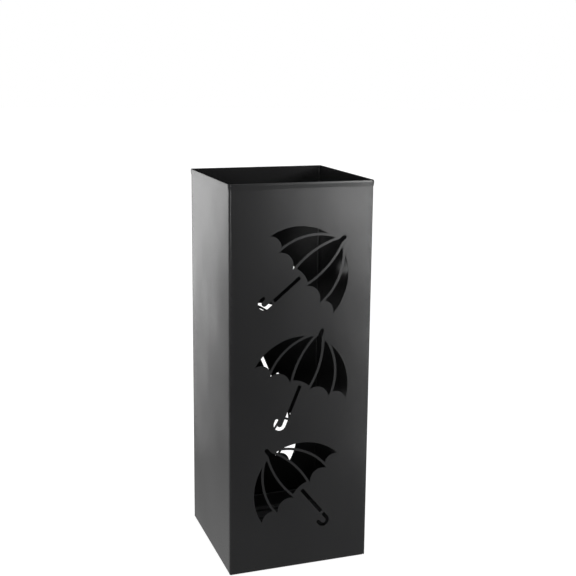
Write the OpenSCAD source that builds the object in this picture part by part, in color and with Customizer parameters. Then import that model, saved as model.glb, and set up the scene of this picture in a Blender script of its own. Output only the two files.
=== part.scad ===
// Square sheet-steel umbrella stand with umbrella cut-outs and a lift-out drip tray.
// Millimetres.  Origin on the floor under the middle of the stand, +Z up, front towards -Y.

/* [Stand] */
// outside width and depth, wall to wall
stand_side = 180; // [150:1:240]
// floor to the top of the rim
stand_height = 484; // [450:1:650]
// thickness of the steel sheet
sheet = 0.5; // [0.4:0.1:1]
// gap under the folded lower edge of the walls
floor_gap = 1; // [0.5:0.1:1.5]

/* [Upright corners] */
// outside radius of the four upright bends
corner_radius = 2.8; // [1.1:0.1:3.2]
// how far the front and back panels wrap round onto the sides
corner_wrap = 4.4; // [3.6:0.1:10]
// open seam between a wrapped edge and the side panel
seam_gap = 0.3; // [0.1:0.1:0.6]
// width of the lap that is spot-welded behind the side panel
weld_lap = 12; // [8:1:20]

/* [Rim and lower edge] */
// air left inside the hem's tight fold
hem_gap = 0.12; // [0.1:0.02:0.6]
// length of the hem's shoulder, just under the fold
hem_shoulder = 1.7; // [1:0.1:3]
// outward flare of the shoulder, in degrees
hem_flare = 12; // [4:1:20]
// length of the hem's leg, from the shoulder down to the free edge
hem_leg = 4.7; // [3:0.1:9]
// air left between the hem's free edge and the wall
hem_end_gap = 0.06; // [0.04:0.02:0.2]
// outside radius of the bend at the bottom of the walls
foot_bend = 1.5; // [1.2:0.1:3]
// width of the flange turned in under the bottom plate
flange_width = 12; // [8:1:18]

/* [Umbrella cut-outs] */
// height of the lower umbrella's hem above the floor
lower_level = 104.2; // [95:0.1:130]
// height of the middle umbrella's hem
middle_level = 239.5; // [230:0.1:300]
// height of the upper umbrella's hem
upper_level = 372.8; // [365:0.1:500]
// lean of the lower umbrella, in degrees, positive to the right
lower_lean = -39.2; // [-90:0.2:90]
// lean of the middle umbrella
middle_lean = 22.6; // [-90:0.2:90]
// lean of the upper umbrella
upper_lean = 50.6; // [-90:0.2:90]
// thickness of the steel ribs left across a canopy
rib_width = 3; // [2:0.1:5]
// overall size of an umbrella as a share of the drawn one
cutout_scale = 1; // [0.8:0.01:1.1]

/* [Drip tray] */
// outside width of the tray under its lip
tray_side = 169; // [150:1:172]
// height of the tray
tray_height = 20; // [12:1:40]
// wall and floor thickness of the tray
tray_wall = 1.6; // [1.2:0.1:3]
// outside radius of the tray's corners
tray_corner = 9; // [5:0.5:20]
// how far the lip stands out
lip_width = 2; // [1:0.1:2.5]
// number of ribs that keep the umbrella tips out of the water
tray_ribs = 7; // [3:2:11]

/* [Feet] */
// diameter of a stick-on rubber foot
foot_diameter = 16; // [10:1:22]
// distance from the middle of the stand to a foot, along X and along Y
foot_offset = 66; // [50:1:68]

/* [Hidden] */
$fn = 96;
half = stand_side / 2;
// half-width of the flat part of a front or back panel
flat_half = half - corner_radius;
// half-width of a side panel
side_half = half - corner_wrap - seam_gap;
// outside radius of the hem's tight fold
hem_radius = sheet + hem_gap / 2;
// inside radius of the knee between the hem's shoulder and its leg
knee_inside = 0.6;
// greatest distance from the wall to the hem's inner face, and the leg's lean back to the wall
hem_belly = hem_gap / 2 * (1 + cos(hem_flare)) + hem_shoulder * sin(hem_flare)
    + knee_inside * (1 - cos(hem_flare));
hem_lean = asin((hem_belly - hem_end_gap) / hem_leg);
plate_bottom = floor_gap + sheet;
plate_top = plate_bottom + sheet;
wall_bottom = floor_gap + foot_bend;
wall_top = stand_height - hem_radius;
// width of the slit that frees the bottom bend from the upright corner
relief = 0.6;
// height of the upright corner's lower end above the bend's underside
corner_lift = 0.5;
// open mitre between neighbouring flanges
mitre_gap = 0.15;
// clear height between the bottom bend and the lap behind the side panel
lap_lift = 1;
// distance from the rim down to the top of that lap
lap_top = wall_top - 12;
// offset of the inner corner of a 45 degree joggle in sheet of this thickness
joggle_inset = sheet * tan(22.5);
// play of the bottom plate inside the walls' bottom bends
plate_play = 0.6;
plate_half = half - foot_bend - plate_play;
plate_corner = 3;
tray_bottom = plate_top + 0.2;
// depth of the turned-down edge of the tray's lip
lip_depth = 3.5;
lip_wall = 1;
rib_height = 3;
rib_thickness = 2;
rib_inset = 14;

// ---- umbrella outline, upright, hook at the bottom, origin between the two outer tips ----

// pointed arch where two equal circles overlap, each centred to one side of the axis
module arch(off_axis, centre_y, radius) {
    intersection() {
        translate([off_axis, centre_y]) circle(r = radius);
        translate([-off_axis, centre_y]) circle(r = radius);
    }
}

// the dome, and the outer and inner pairs of ribs, each drawn along its middle line
module dome() arch(5, -9, 69);
module outer_ribs(grow) arch(33.7, -2.1, 76.2 + grow);
module inner_ribs(grow) arch(94.2, 17.1, 108.4 + grow);

// round bites that scallop the lower edge of a pair of canopy panels
module scallops(off_axis, centre_y, radius) {
    for (side = [-1, 1]) translate([side * off_axis, centre_y]) circle(r = radius);
}

module outer_panels() {
    difference() {
        dome();
        outer_ribs(rib_width / 2);
        scallops(52.5, -9, 14);
    }
}

module inner_panels() {
    difference() {
        intersection() {
            dome();
            outer_ribs(-rib_width / 2);
        }
        inner_ribs(rib_width / 2);
        scallops(27.2, -13, 16);
    }
}

module middle_panel() {
    difference() {
        inner_ribs(-rib_width / 2);
        translate([0, -29]) circle(r = 31);
    }
}

// slot with square ends that runs from low to high along the axis
module slot(width, low, high) {
    translate([-width / 2, low]) square([width, high - low]);
}

module canopy() {
    intersection() {
        union() {
            outer_panels();
            inner_panels();
            middle_panel();
        }
        translate([-80, -5.5]) square([160, 80]);
    }
}

// spike above the canopy, joined to its middle panel
module ferrule() {
    slot(5.5, 55, 68.7);
    translate([0, 68.7]) circle(d = 5.5);
}

// crook handle: short leg, half ring and a rounded free end
module crook(width, ring_x, ring_y) {
    slot(width, ring_y, -48.5);
    translate([ring_x, ring_y]) intersection() {
        difference() {
            circle(r = -ring_x + width / 2);
            circle(r = -ring_x - width / 2);
        }
        translate([-20, -20]) square([40, 20]);
    }
    translate([2 * ring_x, 0]) slot(width, ring_y, -53.4);
    translate([2 * ring_x, -53.4]) circle(d = width);
}

module umbrella() {
    canopy();
    ferrule();
    slot(4.6, -45.7, -3.6);
    crook(4.4, -5.6, -56.6);
}

module placed_umbrella(level, lean) {
    translate([0, level]) rotate(-lean) scale(cutout_scale) umbrella();
}

module cutouts() {
    placed_umbrella(lower_level, lower_lean);
    placed_umbrella(middle_level, middle_lean);
    placed_umbrella(upper_level, upper_lean);
}

// ---- folded sheet, drawn for the front panel: outer face at y = -half ----

// quarter or larger piece of a bend, kept where the given outline allows
module bend(radius) {
    intersection() {
        difference() {
            circle(r = radius);
            circle(r = radius - sheet);
        }
        children();
    }
}

// plan of the upright bend and the short leg that turns onto the side, reaching that far from the front
module corner_plan(reach) {
    translate([flat_half, -flat_half]) bend(corner_radius)
        translate([0, -2 * corner_radius]) square(2 * corner_radius);
    translate([half - sheet, -flat_half]) square([sheet, reach - corner_radius]);
}

// plan of the joggle and the lap that lies behind the side panel
module lap_plan() {
    start = -half + corner_wrap - sheet;
    polygon([
        [half, start],
        [half - sheet, start + sheet],
        [half - sheet, start + weld_lap],
        [half - 2 * sheet, start + weld_lap],
        [half - 2 * sheet, start + sheet - joggle_inset],
        [half - sheet, start - joggle_inset]
    ]);
}

// sector between two angles, large enough to trim any bend here
module sector(first, last) {
    reach = 4 * corner_radius;
    middle = (first + last) / 2;
    polygon([
        [0, 0],
        reach * [cos(first), sin(first)],
        reach * [cos(middle), sin(middle)],
        reach * [cos(last), sin(last)]
    ]);
}

// section of the rim hem, x outward from the wall's outer face, y up from the wall's top
module hem_section() {
    inside = hem_radius - sheet;
    turn = hem_flare + hem_lean;
    translate([inside, 0]) {
        bend(hem_radius) sector(hem_flare, 90);
        bend(hem_radius) sector(90, 180);
        rotate(hem_flare) {
            translate([inside, -hem_shoulder]) square([sheet, hem_shoulder]);
            translate([inside - knee_inside, -hem_shoulder]) {
                bend(knee_inside + sheet) sector(-turn, 0);
                rotate(-turn) translate([knee_inside, -hem_leg]) square([sheet, hem_leg]);
            }
        }
    }
}

// section of the bottom bend and flange, x outward from the outer face, y up from the underside
module foot_section() {
    translate([-foot_bend, foot_bend]) bend(foot_bend)
        translate([0, -2 * foot_bend]) square(2 * foot_bend);
    translate([-flange_width, 0]) square([flange_width - foot_bend, sheet]);
}

// runs a section along the front wall, centred, its own x pointing outward
module along_wall(z, half_length) {
    translate([-half_length, -half, z]) rotate([90, 0, 90])
        mirror([1, 0, 0]) linear_extrude(2 * half_length) children();
}

// hem of a panel that wraps round its corners: straight run, two rounded corners, two short legs
module wrapped_hem() {
    along_wall(wall_top, flat_half) hem_section();
    for (side = [0, 1]) mirror([side, 0, 0]) {
        translate([flat_half, -flat_half, wall_top]) rotate(-90)
            rotate_extrude(angle = 90) translate([corner_radius, 0]) hem_section();
        translate([half, -half + corner_wrap, wall_top]) rotate([90, 0, 0])
            linear_extrude(corner_wrap - corner_radius) hem_section();
    }
}

// bottom bend and flange, cut off at that half-width and mitred at 45 degrees
module foot_flange(half_width) {
    intersection() {
        along_wall(floor_gap, half) foot_section();
        linear_extrude(floor_gap + 2 * foot_bend) polygon([
            [0, -mitre_gap],
            [-half_width, -half_width - mitre_gap],
            [-half_width, -half - sheet],
            [half_width, -half - sheet],
            [half_width, -half_width - mitre_gap]
        ]);
    }
}

module cutout_panel() {
    corner_bottom = floor_gap + corner_lift;
    lap_bottom = wall_bottom + lap_lift;
    difference() {
        translate([-flat_half, -half, wall_bottom]) cube([2 * flat_half, sheet, wall_top - wall_bottom]);
        translate([0, -half + 2 * sheet, 0]) rotate([90, 0, 0]) linear_extrude(3 * sheet) cutouts();
    }
    for (side = [0, 1]) mirror([side, 0, 0]) {
        translate([0, 0, corner_bottom]) linear_extrude(lap_top - corner_bottom)
            corner_plan(corner_wrap - sheet);
        translate([0, 0, lap_top]) linear_extrude(wall_top - lap_top) corner_plan(corner_wrap);
        translate([0, 0, lap_bottom]) linear_extrude(lap_top - lap_bottom) lap_plan();
    }
    wrapped_hem();
    foot_flange(flat_half - relief);
}

module plain_panel() {
    translate([-side_half, -half, wall_bottom]) cube([2 * side_half, sheet, wall_top - wall_bottom]);
    along_wall(wall_top, side_half) hem_section();
    foot_flange(side_half);
}

// square outline with round corners, centred
module round_square(side, radius) {
    square([side, side - 2 * radius], center = true);
    square([side - 2 * radius, side], center = true);
    for (x = [-1, 1], y = [-1, 1]) translate([x, y] * (side / 2 - radius)) circle(r = radius);
}

// ---- sub-parts ----

module front_panel() color("#26272a") cutout_panel();
module back_panel() color("#26272a") rotate(180) cutout_panel();
module left_panel() color("#2b2c2f") rotate(-90) plain_panel();
module right_panel() color("#2b2c2f") rotate(90) plain_panel();

module bottom_plate() color("#202124")
    translate([0, 0, plate_bottom]) linear_extrude(sheet) round_square(2 * plate_half, plate_corner);

// tray wall ring between two heights, straight sided
module tray_ring(side, radius, wall, low, high) {
    translate([0, 0, low]) linear_extrude(high - low) difference() {
        round_square(side, radius);
        round_square(side - 2 * wall, radius - wall);
    }
}

module drip_tray() color("#33363a") translate([0, 0, tray_bottom]) {
    lip_side = tray_side + 2 * lip_width;
    lip_corner = tray_corner + lip_width;
    linear_extrude(tray_wall) round_square(tray_side, tray_corner);
    tray_ring(tray_side, tray_corner, tray_wall, 0, tray_height);
    tray_ring(lip_side, lip_corner, lip_width + tray_wall / 2, tray_height - lip_wall, tray_height);
    tray_ring(lip_side, lip_corner, lip_wall, tray_height - lip_depth, tray_height);
    rib_length = tray_side - 2 * rib_inset;
    rib_pitch = rib_length / (tray_ribs - 1);
    for (i = [0 : tray_ribs - 1])
        translate([-rib_length / 2, -rib_length / 2 + i * rib_pitch - rib_thickness / 2, 0])
            cube([rib_length, rib_thickness, tray_wall + rib_height]);
}

module foot(x, y) color("#151515")
    translate([x * foot_offset, y * foot_offset, 0]) cylinder(d = foot_diameter, h = plate_bottom);

module front_left_foot() foot(-1, -1);
module front_right_foot() foot(1, -1);
module rear_left_foot() foot(-1, 1);
module rear_right_foot() foot(1, 1);

front_panel();
back_panel();
left_panel();
right_panel();
bottom_plate();
drip_tray();
front_left_foot();
front_right_foot();
rear_left_foot();
rear_right_foot();
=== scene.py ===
"""Looks of the square sheet-steel umbrella stand: powder-coated panels, moulded tray, rubber pads."""

import math

import bmesh
import bpy
from mathutils import Matrix, Vector


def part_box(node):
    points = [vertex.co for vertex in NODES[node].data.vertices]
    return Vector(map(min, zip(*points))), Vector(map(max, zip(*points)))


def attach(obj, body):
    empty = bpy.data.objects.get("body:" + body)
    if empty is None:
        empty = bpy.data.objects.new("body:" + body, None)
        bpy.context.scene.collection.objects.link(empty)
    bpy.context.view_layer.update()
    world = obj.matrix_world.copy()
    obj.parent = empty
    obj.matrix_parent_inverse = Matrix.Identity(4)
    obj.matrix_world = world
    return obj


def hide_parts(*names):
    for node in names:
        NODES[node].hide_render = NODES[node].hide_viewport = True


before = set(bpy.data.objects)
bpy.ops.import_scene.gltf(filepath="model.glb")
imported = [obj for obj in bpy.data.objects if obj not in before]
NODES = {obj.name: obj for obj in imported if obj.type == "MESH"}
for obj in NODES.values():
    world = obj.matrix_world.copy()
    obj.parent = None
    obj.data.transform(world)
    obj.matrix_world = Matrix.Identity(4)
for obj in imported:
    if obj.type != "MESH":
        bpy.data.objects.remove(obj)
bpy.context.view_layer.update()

# ---------------------------------------------------------------- node helpers


def tree_of(name):
    """A new material, its node tree and the shader that is already in it."""
    material = bpy.data.materials.new(name)
    material.use_nodes = True
    nodes = material.node_tree.nodes
    return material, material.node_tree, nodes["Principled BSDF"]


def add(tree, kind, **settings):
    """A node of that kind with its sockets (by name) and its properties set."""
    node = tree.nodes.new(kind)
    for key, value in settings.items():
        if key in node.inputs:
            node.inputs[key].default_value = value
        else:
            setattr(node, key, value)
    return node


def noise(tree, where, scale, detail=2.0, rough=0.5):
    """Noise over the object's own coordinates. scale is in features per metre."""
    node = add(tree, "ShaderNodeTexNoise", Scale=scale, Detail=detail, Roughness=rough)
    tree.links.new(where.outputs["Object"], node.inputs["Vector"])
    return node


def spread(tree, source, low, high):
    """Maps a noise's middle range to low..high."""
    node = add(tree, "ShaderNodeMapRange")
    node.inputs["From Min"].default_value = 0.3
    node.inputs["From Max"].default_value = 0.7
    node.inputs["To Min"].default_value = low
    node.inputs["To Max"].default_value = high
    tree.links.new(source.outputs["Fac"], node.inputs["Value"])
    return node


def blend_colour(tree, factor, dark, light):
    """A colour that runs from dark to light with factor."""
    node = add(tree, "ShaderNodeMix", data_type="RGBA")
    node.inputs["A"].default_value = (*dark, 1)
    node.inputs["B"].default_value = (*light, 1)
    tree.links.new(factor, node.inputs["Factor"])
    return node.outputs["Result"]


def bump(tree, height, distance, strength=1.0, under=None):
    """Relief from a noise, distance metres deep, on top of the relief under it."""
    node = add(tree, "ShaderNodeBump", Distance=distance, Strength=strength)
    tree.links.new(height.outputs["Fac"], node.inputs["Height"])
    if under is not None:
        tree.links.new(under.outputs["Normal"], node.inputs["Normal"])
    return node


# ------------------------------------------------------------------- materials


def powder_coat():
    """Satin black powder coat: fine orange peel over sheet that isn't perfectly flat."""
    material, tree, shader = tree_of("black_powder_coat")
    where = add(tree, "ShaderNodeTexCoord")
    cloud = noise(tree, where, scale=14, detail=3)
    speck = noise(tree, where, scale=1500, rough=0.6)
    tone = spread(tree, cloud, low=0.0, high=1.0)
    dark = (0.0065, 0.0066, 0.007)
    light = (0.0085, 0.0086, 0.009)
    colour = blend_colour(tree, tone.outputs["Result"], dark, light)
    tree.links.new(colour, shader.inputs["Base Color"])
    rough = spread(tree, speck, low=0.22, high=0.27)
    tree.links.new(rough.outputs["Result"], shader.inputs["Roughness"])
    sheet_wave = bump(tree, noise(tree, where, scale=9, detail=1), distance=0.0012)
    orange_peel = noise(tree, where, scale=620, rough=0.55)
    peel = bump(tree, orange_peel, distance=0.00004, strength=0.8, under=sheet_wave)
    grain = bump(tree, speck, distance=0.000012, strength=0.6, under=peel)
    tree.links.new(grain.outputs["Normal"], shader.inputs["Normal"])
    return material


def moulded_plastic():
    """Matt black polypropylene with a fine spark-eroded grain."""
    material, tree, shader = tree_of("tray_plastic")
    where = add(tree, "ShaderNodeTexCoord")
    cloud = spread(tree, noise(tree, where, scale=30, detail=3), low=0.0, high=1.0)
    dark = (0.015, 0.016, 0.017)
    light = (0.022, 0.023, 0.024)
    colour = blend_colour(tree, cloud.outputs["Result"], dark, light)
    tree.links.new(colour, shader.inputs["Base Color"])
    grain = noise(tree, where, scale=1900, detail=3, rough=0.7)
    rough = spread(tree, grain, low=0.52, high=0.66)
    tree.links.new(rough.outputs["Result"], shader.inputs["Roughness"])
    pits = bump(tree, grain, distance=0.00005, strength=0.7)
    tree.links.new(pits.outputs["Normal"], shader.inputs["Normal"])
    return material


def pad_rubber():
    """Black rubber, dusty and dull."""
    material, tree, shader = tree_of("foot_rubber")
    where = add(tree, "ShaderNodeTexCoord")
    dust = spread(tree, noise(tree, where, scale=240, detail=4, rough=0.6), low=0.0, high=1.0)
    dark = (0.012, 0.012, 0.012)
    light = (0.030, 0.029, 0.028)
    colour = blend_colour(tree, dust.outputs["Result"], dark, light)
    tree.links.new(colour, shader.inputs["Base Color"])
    grain = noise(tree, where, scale=2400)
    rough = spread(tree, grain, low=0.7, high=0.85)
    tree.links.new(rough.outputs["Result"], shader.inputs["Roughness"])
    pits = bump(tree, grain, distance=0.00004, strength=0.6)
    tree.links.new(pits.outputs["Normal"], shader.inputs["Normal"])
    return material


# --------------------------------------------------------------------- pieces


def clothe(obj, material):
    """Gives the object that one material."""
    obj.data.materials.clear()
    obj.data.materials.append(material)


def soften_edges(obj, width):
    """Rounds the sheet's cut edges a little and keeps the flat faces flat."""
    bevel = obj.modifiers.new("edge", "BEVEL")
    bevel.width = width
    bevel.segments = 2
    bevel.limit_method = "ANGLE"
    bevel.angle_limit = math.radians(50)
    weighted = obj.modifiers.new("flat", "WEIGHTED_NORMAL")
    weighted.keep_sharp = True


def new_piece(name, build, body, node, material):
    """A mesh piece that rides on a body and stands for a CAD node."""
    mesh = bpy.data.meshes.new(name)
    shape = bmesh.new()
    build(shape, *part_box(node))
    bmesh.ops.recalc_face_normals(shape, faces=shape.faces)
    shape.to_mesh(mesh)
    shape.free()
    mesh.shade_smooth()
    mesh.set_sharp_from_angle(angle=math.radians(35))
    piece = bpy.data.objects.new(name, mesh)
    bpy.context.scene.collection.objects.link(piece)
    clothe(piece, material)
    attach(piece, body)
    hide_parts(node)


def loft(shape, rings):
    """A closed solid through rings of points, each with as many points, capped at both ends."""
    rows = [[shape.verts.new(point) for point in ring] for ring in rings]
    count = len(rows[0])
    for lower, upper in zip(rows, rows[1:]):
        for i in range(count):
            j = (i + 1) % count
            shape.faces.new((lower[i], lower[j], upper[j], upper[i]))
    shape.faces.new(rows[0])
    shape.faces.new(rows[-1])


def round_square(half, radius, z, steps=12):
    """Points round a square with round corners, anticlockwise."""
    points = []
    for quarter in range(4):
        corner_x = (half - radius) * (1 if quarter in (0, 3) else -1)
        corner_y = (half - radius) * (1 if quarter in (0, 1) else -1)
        for k in range(steps + 1):
            a = (quarter + k / steps) * math.pi / 2
            points.append((corner_x + radius * math.cos(a), corner_y + radius * math.sin(a), z))
    return points


def arc(across, up, radius, first, last, steps=6):
    """Points (across, up) along an arc whose angles are in degrees."""
    points = []
    for k in range(steps + 1):
        a = math.radians(first + (last - first) * k / steps)
        points.append((across + radius * math.cos(a), up + radius * math.sin(a)))
    return points


# Sizes of the moulded tray, in metres.
TRAY_WALL = 0.0016
TRAY_DRAFT = 0.0009
TRAY_CORNER = 0.011
HEEL_RADIUS = 0.0030
FLOOR_FILLET = 0.0025
LIP_REACH = 0.0020
LIP_DEPTH = 0.0035
LIP_WALL = 0.0010
# How far inside the nominal wall the drafted outer face meets the lip.
LIP_ROOT = 0.0002
LIP_UNDERSIDE_RADIUS = 0.0006
LIP_OUTER_RADIUS = 0.0012
LIP_INNER_RADIUS = 0.0008
RIB_COUNT = 7
RIB_HEIGHT = 0.0030
RIB_WIDTH = 0.0020
RIB_ROOT_HALF = 0.0013
RIB_INSET = 0.014
# How deep a rib's root is sunk into the tray's floor.
RIB_SINK = 0.0003
# A rib's rounded end: distance from its tip, and the share of its full section there.
RIB_TIP = ((0, 0.35), (0.0008, 0.75), (0.0025, 1))


def tray_profile(half, height):
    """Section of the tray from its underside, over the lip, to its floor."""
    wall = half - LIP_REACH
    foot = wall - TRAY_DRAFT
    inner = wall - TRAY_WALL
    under = LIP_UNDERSIDE_RADIUS
    under_height = height - LIP_WALL - under
    tip = LIP_WALL / 2
    points = arc(foot - HEEL_RADIUS, HEEL_RADIUS, HEEL_RADIUS, -90, 0)
    points += arc(wall - LIP_ROOT + under, under_height, under, 180, 90, 4)
    points += arc(half - LIP_WALL - under, under_height, under, 90, 0, 4)
    points += arc(half - tip, height - LIP_DEPTH + tip, tip, 180, 360, 8)
    points += arc(half - LIP_OUTER_RADIUS, height - LIP_OUTER_RADIUS, LIP_OUTER_RADIUS, 0, 90)
    points += arc(inner + LIP_INNER_RADIUS, height - LIP_INNER_RADIUS, LIP_INNER_RADIUS, 90, 180)
    points += arc(inner - TRAY_DRAFT - FLOOR_FILLET, TRAY_WALL + FLOOR_FILLET, FLOOR_FILLET, 0, -90)
    return points


def drip_tray(shape, low, high):
    """Drafted walls, a turned-down lip and rounded ribs that keep the tips out of the water."""
    half = high.x
    profile = tray_profile(half, high.z - low.z)
    loft(shape, [round_square(across, TRAY_CORNER - (half - across), low.z + up)
                 for across, up in profile])
    reach = half - LIP_REACH - RIB_INSET
    root = low.z + TRAY_WALL - RIB_SINK
    crown = arc(0, RIB_HEIGHT - RIB_WIDTH / 2, RIB_WIDTH / 2, 0, 180, 8)
    section = [(RIB_ROOT_HALF, 0), *crown, (-RIB_ROOT_HALF, 0)]
    ends = [(-reach + inward, share) for inward, share in RIB_TIP]
    ends += [(reach - inward, share) for inward, share in reversed(RIB_TIP)]
    for i in range(RIB_COUNT):
        y = -reach + 2 * reach * i / (RIB_COUNT - 1)
        loft(shape, [[(x, y + across * share, root + up * share) for across, up in section]
                     for x, share in ends])


# Sizes of a rubber pad, in metres.
PAD_RECESS_DEPTH = 0.0002
PAD_RECESS_RADIUS = 0.0048
PAD_SOLE_RADIUS = 0.0052
PAD_SOLE_ROUND = 0.0005
PAD_TOP_ROUND = 0.0003
# Radius of the small flat face that closes a pad in the middle, above and below.
PAD_MIDDLE = 0.0004
PAD_STEPS = 64


def foot_pad(shape, low, high):
    """A round rubber pad with softened edges and a shallow round recess in its sole."""
    middle = (low + high) / 2
    radius = (high.x - low.x) / 2
    recess = low.z + PAD_RECESS_DEPTH
    profile = [(PAD_MIDDLE, recess), (PAD_RECESS_RADIUS, recess), (PAD_SOLE_RADIUS, low.z)]
    profile += arc(radius - PAD_SOLE_ROUND, low.z + PAD_SOLE_ROUND, PAD_SOLE_ROUND, -90, 0, 5)
    profile += arc(radius - PAD_TOP_ROUND, high.z - PAD_TOP_ROUND, PAD_TOP_ROUND, 0, 90, 4)
    profile += [(PAD_MIDDLE, high.z)]
    turns = [2 * math.pi * k / PAD_STEPS for k in range(PAD_STEPS)]
    loft(shape, [[(middle.x + r * math.cos(a), middle.y + r * math.sin(a), z) for a in turns]
                 for r, z in profile])


coat = powder_coat()
plastic = moulded_plastic()
rubber = pad_rubber()

SHEETS = ("front_panel", "back_panel", "left_panel", "right_panel", "bottom_plate")
# Width of the softened cut edges, in metres.
CUT_EDGE = 0.00015
for name in SHEETS:
    clothe(NODES[name], coat)
    soften_edges(NODES[name], CUT_EDGE)
new_piece("moulded_tray", drip_tray, "tray", "drip_tray", plastic)
for corner in ("front_left", "front_right", "rear_left", "rear_right"):
    new_piece(f"{corner}_pad", foot_pad, "stand", f"{corner}_foot", rubber)

# ------------------------------------------------------------- floor and light

# Radius of the floor in metres, far past the edges of the picture.
FLOOR_RADIUS = 12


def floor():
    """A pale floor, bright mostly by its own glow. It puts no light, shadow or reflection on the stand."""
    mesh = bpy.data.meshes.new("floor")
    shape = bmesh.new()
    bmesh.ops.create_circle(shape, cap_ends=True, segments=96, radius=FLOOR_RADIUS)
    shape.to_mesh(mesh)
    shape.free()
    obj = bpy.data.objects.new("floor", mesh)
    bpy.context.scene.collection.objects.link(obj)
    material, tree, shader = tree_of("floor")
    shader.inputs["Base Color"].default_value = (0.3, 0.3, 0.3, 1)
    shader.inputs["Roughness"].default_value = 0.9
    shader.inputs["Specular IOR Level"].default_value = 0.1
    shader.inputs["Emission Color"].default_value = (1, 1, 1, 1)
    shader.inputs["Emission Strength"].default_value = 0.9
    clothe(obj, material)
    obj.visible_glossy = False
    obj.visible_diffuse = False
    obj.visible_shadow = False


# The studio's surround, as soft round patches of light: azimuth from -Y towards +X, elevation,
# half-width and softness, all in degrees, and brightness.
SURROUND = {
    "ceiling": (0, 80, 35, 15, 1.5),
    "floor": (0, -90, 60, 25, 0.6),
    "floor_behind": (-160, -30, 20, 15, 0.2),
    "left_wall": (-100, 0, 25, 12, 0.7),
    "right_wall": (110, 5, 35, 15, 1.0),
    "line_on_left_bend": (-25, 4, 12, 4, 10),
    "line_on_right_bend": (48, -6, 7, 5, 10),
    "back_wall": (-168, 0, 9, 3, 0.5),
}

# Height in metres of the point that the soft boxes face.
STAND_MIDDLE = 0.24

# Soft boxes: azimuth and elevation as above, distance from that point, width and height in metres,
# turn about the box's own axis in degrees, and brightness.
SOFT_BOXES = {
    "key_light": (24, 2, 1.5, 0.10, 0.09, 0, 30),
    "upper_light": (27, 20, 1.5, 0.04, 0.30, 0, 80),
    "strip_light": (30, -4, 1.5, 0.05, 0.40, 0, 27),
    "lower_light": (30, -18, 1.5, 0.05, 0.40, 0, 9),
    "rear_light": (-164, -4, 0.75, 0.12, 0.70, -17, 2.1),
}


def direction(azimuth, elevation):
    """Unit vector towards an azimuth, from -Y towards +X, and an elevation, both in degrees."""
    a = math.radians(azimuth)
    e = math.radians(elevation)
    return Vector((math.sin(a) * math.cos(e), -math.cos(a) * math.cos(e), math.sin(e)))


def surround():
    """A white backdrop for the camera, and soft panels of light for everything else."""
    world = bpy.data.worlds.new("studio")
    bpy.context.scene.world = world
    world.use_nodes = True
    tree = world.node_tree
    tree.nodes.clear()
    link = tree.links.new
    where = add(tree, "ShaderNodeTexCoord")
    total = None
    for azimuth, elevation, width, soft, level in SURROUND.values():
        dot = add(tree, "ShaderNodeVectorMath", operation="DOT_PRODUCT")
        dot.inputs[1].default_value = direction(azimuth, elevation)
        link(where.outputs["Generated"], dot.inputs[0])
        step = add(tree, "ShaderNodeMapRange", interpolation_type="SMOOTHSTEP")
        step.inputs["From Min"].default_value = math.cos(math.radians(width + soft))
        step.inputs["From Max"].default_value = math.cos(math.radians(max(width - soft, 0)))
        step.inputs["To Max"].default_value = level
        link(dot.outputs["Value"], step.inputs["Value"])
        if total is None:
            total = step.outputs["Result"]
        else:
            plus = add(tree, "ShaderNodeMath", operation="ADD")
            link(total, plus.inputs[0])
            link(step.outputs["Result"], plus.inputs[1])
            total = plus.outputs["Value"]
    lit = add(tree, "ShaderNodeBackground")
    link(total, lit.inputs["Strength"])
    white = add(tree, "ShaderNodeBackground")
    white.inputs["Strength"].default_value = 1.0
    for shade in (lit, white):
        shade.inputs["Color"].default_value = (1, 1, 1, 1)
    path = add(tree, "ShaderNodeLightPath")
    choose = add(tree, "ShaderNodeMixShader")
    link(path.outputs["Is Camera Ray"], choose.inputs["Fac"])
    link(lit.outputs[0], choose.inputs[1])
    link(white.outputs[0], choose.inputs[2])
    out = add(tree, "ShaderNodeOutputWorld")
    link(choose.outputs[0], out.inputs["Surface"])


def soft_boxes():
    """Rectangular lights that face the middle of the stand and don't show themselves."""
    middle = Vector((0, 0, STAND_MIDDLE))
    for name, (azimuth, elevation, distance, width, height, turn, level) in SOFT_BOXES.items():
        back = direction(azimuth, elevation)
        light = bpy.data.lights.new(name, "AREA")
        light.shape = "RECTANGLE"
        light.size = width
        light.size_y = height
        light.energy = level * math.pi * width * height
        box = bpy.data.objects.new(name, light)
        facing = back.to_track_quat("Z", "Y").to_matrix() @ Matrix.Rotation(math.radians(turn), 3, "Z")
        box.matrix_world = Matrix.Translation(middle + distance * back) @ facing.to_4x4()
        box.visible_camera = False
        bpy.context.scene.collection.objects.link(box)


# The camera: azimuth, elevation and roll in degrees, place in metres, and lens and sensor width in
# millimetres. The shift moves the view down by 22 of the picture's 576 pixels.
CAMERA_ANGLES = (-19.309, 11.322, -0.511)
CAMERA_PLACE = (-0.41305, -1.21695, 0.62436)
CAMERA_LENS = 64.563
CAMERA_SENSOR = 36
CAMERA_SHIFT = -22 / 576


def camera():
    """The stand seen from the front left, a little above."""
    azimuth, elevation, roll = CAMERA_ANGLES
    back = direction(azimuth, elevation)
    right = direction(azimuth + 90, 0)
    up = back.cross(right)
    turn = Matrix((right, up, back)).transposed() @ Matrix.Rotation(-math.radians(roll), 3, "Z")
    data = bpy.data.cameras.new("camera")
    data.lens = CAMERA_LENS
    data.sensor_width = CAMERA_SENSOR
    data.shift_y = CAMERA_SHIFT
    obj = bpy.data.objects.new("camera", data)
    obj.matrix_world = Matrix.Translation(CAMERA_PLACE) @ turn.to_4x4()
    bpy.context.scene.collection.objects.link(obj)
    bpy.context.scene.camera = obj


floor()
surround()
soft_boxes()
camera()
bpy.context.scene.view_settings.view_transform = "Standard"
